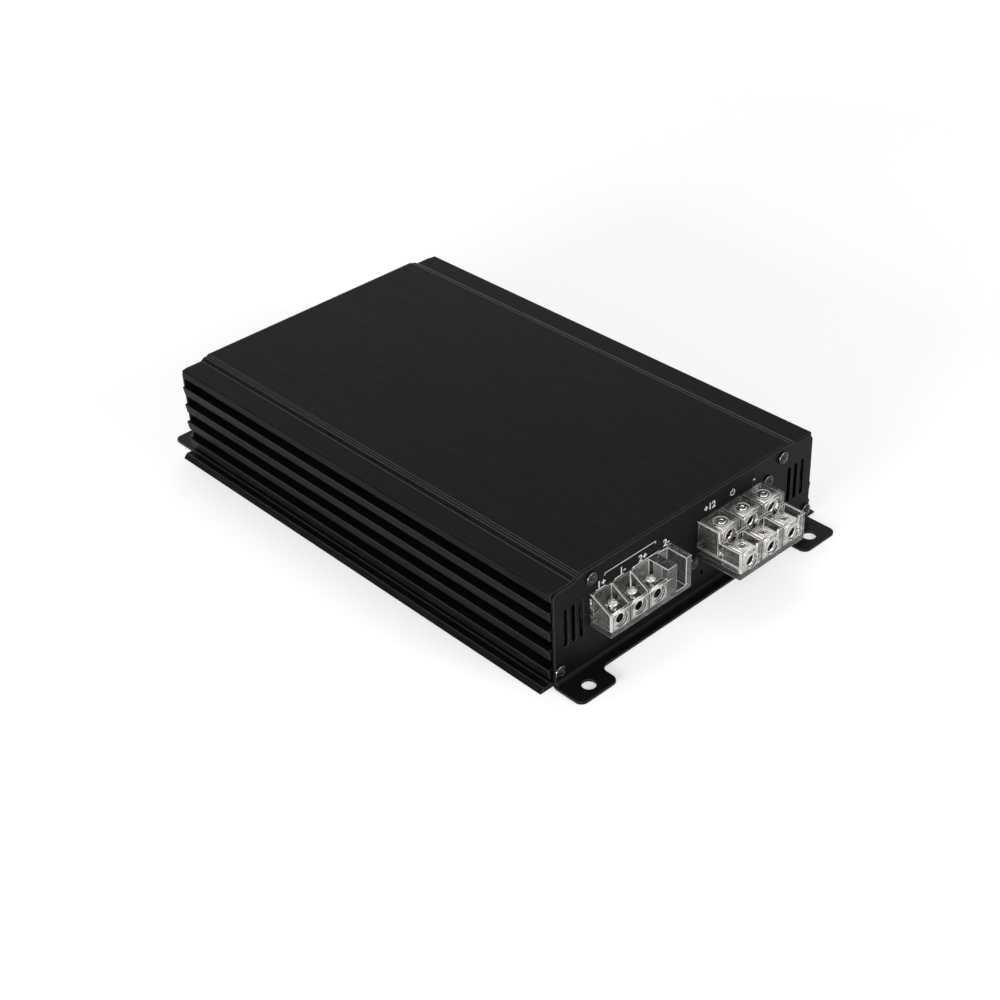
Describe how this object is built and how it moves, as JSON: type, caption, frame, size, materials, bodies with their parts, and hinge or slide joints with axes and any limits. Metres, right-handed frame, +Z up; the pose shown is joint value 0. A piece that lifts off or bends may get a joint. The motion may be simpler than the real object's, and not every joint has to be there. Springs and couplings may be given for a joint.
{
  "type": "car amplifier",
  "caption": "Flat finned car audio amplifier with mounting feet, clear clamp terminals at one end and phono sockets, controls and switches at the other.",
  "frame": {"origin": "centre of the four mounting holes, on the floor the feet lie on", "axes": "+X across the case to the power terminal's side, +Y along the extrusion away from the clear terminals, +Z up"},
  "size_m": [0.174, 0.2905, 0.0486],
  "materials": {
    "black_anodised": "brushed black anodised",
    "powder_coat": "matt fine-textured powder coat",
    "black_screws": "black zinc",
    "zinc_screws": "bright zinc",
    "clear_plastic": "clear polycarbonate",
    "nickel": "satin nickel plate",
    "board_green": "solder mask",
    "brass_hex": "turned",
    "ferrite": "sintered",
    "copper_wire": "enamelled copper",
    "capacitor_sleeve": "printed sleeve",
    "epoxy_black": "moulded epoxy",
    "grey_silicone": "matt",
    "bar_aluminium": "milled",
    "black_plastic": "moulded",
    "gold_plate": "gold plated",
    "white_plastic": "moulded",
    "red_plastic": "moulded",
    "knob_black": "moulded",
    "lever_white": "moulded",
    "green_lens": "diffused lens",
    "red_lens": "diffused lens"
  },
  "bodies": {
    "amplifier": {"chassis_heatsink": "black_anodised", "front_end_plate": "powder_coat", "rear_end_plate": "powder_coat", "bottom_cover": "powder_coat", "end_plate_screws": "black_screws", "terminal_fixing_screws": "black_screws", "bottom_cover_screws": "black_screws", "board_screws": "zinc_screws", "clamp_bar_screws": "zinc_screws", "power_terminal_base": "clear_plastic", "power_terminal_cover": "clear_plastic", "speaker_terminal_housing": "clear_plastic", "power_clamps_lower": "nickel", "power_clamps_upper": "nickel", "speaker_clamps": "nickel", "circuit_board": "board_green", "board_standoffs": "brass_hex", "transformer_core": "ferrite", "choke_core": "ferrite", "transformer_winding": "copper_wire", "choke_winding": "copper_wire", "reservoir_capacitors": "capacitor_sleeve", "input_capacitors": "capacitor_sleeve", "transistors_left": "epoxy_black", "transistors_right": "epoxy_black", "signal_chips": "epoxy_black", "insulating_pads": "grey_silicone", "clamp_bars": "bar_aluminium", "phono_socket_block": "black_plastic", "control_bodies": "black_plastic", "switch_bodies": "black_plastic", "phono_shells": "gold_plate", "phono_insulators_white": "white_plastic", "phono_insulators_red": "red_plastic", "power_lamp": "green_lens", "protect_lamp": "red_lens"},
    "power_pad_lower_1": {"power_pad_lower_1": "nickel"},
    "power_screw_lower_1": {"power_screw_lower_1": "nickel"},
    "power_pad_lower_2": {"power_pad_lower_2": "nickel"},
    "power_screw_lower_2": {"power_screw_lower_2": "nickel"},
    "power_pad_lower_3": {"power_pad_lower_3": "nickel"},
    "power_screw_lower_3": {"power_screw_lower_3": "nickel"},
    "power_pad_upper_1": {"power_pad_upper_1": "nickel"},
    "power_screw_upper_1": {"power_screw_upper_1": "nickel"},
    "power_pad_upper_2": {"power_pad_upper_2": "nickel"},
    "power_screw_upper_2": {"power_screw_upper_2": "nickel"},
    "power_pad_upper_3": {"power_pad_upper_3": "nickel"},
    "power_screw_upper_3": {"power_screw_upper_3": "nickel"},
    "speaker_pad_1": {"speaker_pad_1": "nickel"},
    "speaker_screw_1": {"speaker_screw_1": "nickel"},
    "speaker_pad_2": {"speaker_pad_2": "nickel"},
    "speaker_screw_2": {"speaker_screw_2": "nickel"},
    "speaker_pad_3": {"speaker_pad_3": "nickel"},
    "speaker_screw_3": {"speaker_screw_3": "nickel"},
    "control_knob_1": {"control_knob_1": "knob_black"},
    "control_knob_2": {"control_knob_2": "knob_black"},
    "control_knob_3": {"control_knob_3": "knob_black"},
    "control_knob_4": {"control_knob_4": "knob_black"},
    "switch_lever_1": {"switch_lever_1": "lever_white"},
    "switch_lever_2": {"switch_lever_2": "lever_white"}
  },
  "joints": [
    {"name": "power_pad_lower_1_feed", "type": "slide", "parent": "amplifier", "child": "power_pad_lower_1", "axis": [0, 0, -1], "range_m": [0, 0.0014]},
    {"name": "power_screw_lower_1_turn", "type": "hinge", "parent": "power_pad_lower_1", "child": "power_screw_lower_1", "pos_m": [0.0118, -0.1434, 0.02875], "axis": [0, 0, -1], "range_deg": [0, 720.5]},
    {"name": "power_pad_lower_2_feed", "type": "slide", "parent": "amplifier", "child": "power_pad_lower_2", "axis": [0, 0, -1], "range_m": [0, 0.0014]},
    {"name": "power_screw_lower_2_turn", "type": "hinge", "parent": "power_pad_lower_2", "child": "power_screw_lower_2", "pos_m": [0.0253, -0.1434, 0.02875], "axis": [0, 0, -1], "range_deg": [0, 720.5]},
    {"name": "power_pad_lower_3_feed", "type": "slide", "parent": "amplifier", "child": "power_pad_lower_3", "axis": [0, 0, -1], "range_m": [0, 0.0014]},
    {"name": "power_screw_lower_3_turn", "type": "hinge", "parent": "power_pad_lower_3", "child": "power_screw_lower_3", "pos_m": [0.0388, -0.1434, 0.02875], "axis": [0, 0, -1], "range_deg": [0, 720.5]},
    {"name": "power_pad_upper_1_feed", "type": "slide", "parent": "amplifier", "child": "power_pad_upper_1", "axis": [0, 0, -1], "range_m": [0, 0.0014]},
    {"name": "power_screw_upper_1_turn", "type": "hinge", "parent": "power_pad_upper_1", "child": "power_screw_upper_1", "pos_m": [0.0118, -0.13185, 0.03595], "axis": [0, 0, -1], "range_deg": [0, 720.5]},
    {"name": "power_pad_upper_2_feed", "type": "slide", "parent": "amplifier", "child": "power_pad_upper_2", "axis": [0, 0, -1], "range_m": [0, 0.0014]},
    {"name": "power_screw_upper_2_turn", "type": "hinge", "parent": "power_pad_upper_2", "child": "power_screw_upper_2", "pos_m": [0.0253, -0.13185, 0.03595], "axis": [0, 0, -1], "range_deg": [0, 720.5]},
    {"name": "power_pad_upper_3_feed", "type": "slide", "parent": "amplifier", "child": "power_pad_upper_3", "axis": [0, 0, -1], "range_m": [0, 0.0014]},
    {"name": "power_screw_upper_3_turn", "type": "hinge", "parent": "power_pad_upper_3", "child": "power_screw_upper_3", "pos_m": [0.0388, -0.13185, 0.03595], "axis": [0, 0, -1], "range_deg": [0, 720.5]},
    {"name": "speaker_pad_1_feed", "type": "slide", "parent": "amplifier", "child": "speaker_pad_1", "axis": [0, 0, -1], "range_m": [0, 0.001]},
    {"name": "speaker_screw_1_turn", "type": "hinge", "parent": "speaker_pad_1", "child": "speaker_screw_1", "pos_m": [-0.05305, -0.1315, 0.02865], "axis": [0, 0, -1], "range_deg": [0, 720.5]},
    {"name": "speaker_pad_2_feed", "type": "slide", "parent": "amplifier", "child": "speaker_pad_2", "axis": [0, 0, -1], "range_m": [0, 0.001]},
    {"name": "speaker_screw_2_turn", "type": "hinge", "parent": "speaker_pad_2", "child": "speaker_screw_2", "pos_m": [-0.04205, -0.1315, 0.02865], "axis": [0, 0, -1], "range_deg": [0, 720.5]},
    {"name": "speaker_pad_3_feed", "type": "slide", "parent": "amplifier", "child": "speaker_pad_3", "axis": [0, 0, -1], "range_m": [0, 0.001]},
    {"name": "speaker_screw_3_turn", "type": "hinge", "parent": "speaker_pad_3", "child": "speaker_screw_3", "pos_m": [-0.03105, -0.1315, 0.02865], "axis": [0, 0, -1], "range_deg": [0, 720.5]},
    {"name": "control_knob_1_turn", "type": "hinge", "parent": "amplifier", "child": "control_knob_1", "pos_m": [-0.012, 0.1256, 0.0256], "axis": [0, -1, 0], "range_deg": [-140, 140]},
    {"name": "control_knob_2_turn", "type": "hinge", "parent": "amplifier", "child": "control_knob_2", "pos_m": [0.003, 0.1256, 0.0256], "axis": [0, -1, 0], "range_deg": [-140, 140]},
    {"name": "control_knob_3_turn", "type": "hinge", "parent": "amplifier", "child": "control_knob_3", "pos_m": [0.018, 0.1256, 0.0256], "axis": [0, -1, 0], "range_deg": [-140, 140]},
    {"name": "control_knob_4_turn", "type": "hinge", "parent": "amplifier", "child": "control_knob_4", "pos_m": [0.033, 0.1256, 0.0256], "axis": [0, -1, 0], "range_deg": [-140, 140]},
    {"name": "switch_lever_1_slide", "type": "slide", "parent": "amplifier", "child": "switch_lever_1", "axis": [1, 0, 0], "range_m": [-0.002, 0.002]},
    {"name": "switch_lever_2_slide", "type": "slide", "parent": "amplifier", "child": "switch_lever_2", "axis": [1, 0, 0], "range_m": [-0.002, 0.002]}
  ],
  "couplings": [
    {"joint": "power_screw_lower_1_turn", "follows": "power_pad_lower_1_feed", "rad_per_m": 8976},
    {"joint": "power_screw_lower_2_turn", "follows": "power_pad_lower_2_feed", "rad_per_m": 8976},
    {"joint": "power_screw_lower_3_turn", "follows": "power_pad_lower_3_feed", "rad_per_m": 8976},
    {"joint": "power_screw_upper_1_turn", "follows": "power_pad_upper_1_feed", "rad_per_m": 8976},
    {"joint": "power_screw_upper_2_turn", "follows": "power_pad_upper_2_feed", "rad_per_m": 8976},
    {"joint": "power_screw_upper_3_turn", "follows": "power_pad_upper_3_feed", "rad_per_m": 8976},
    {"joint": "speaker_screw_1_turn", "follows": "speaker_pad_1_feed", "rad_per_m": 12566},
    {"joint": "speaker_screw_2_turn", "follows": "speaker_pad_2_feed", "rad_per_m": 12566},
    {"joint": "speaker_screw_3_turn", "follows": "speaker_pad_3_feed", "rad_per_m": 12566}
  ]
}
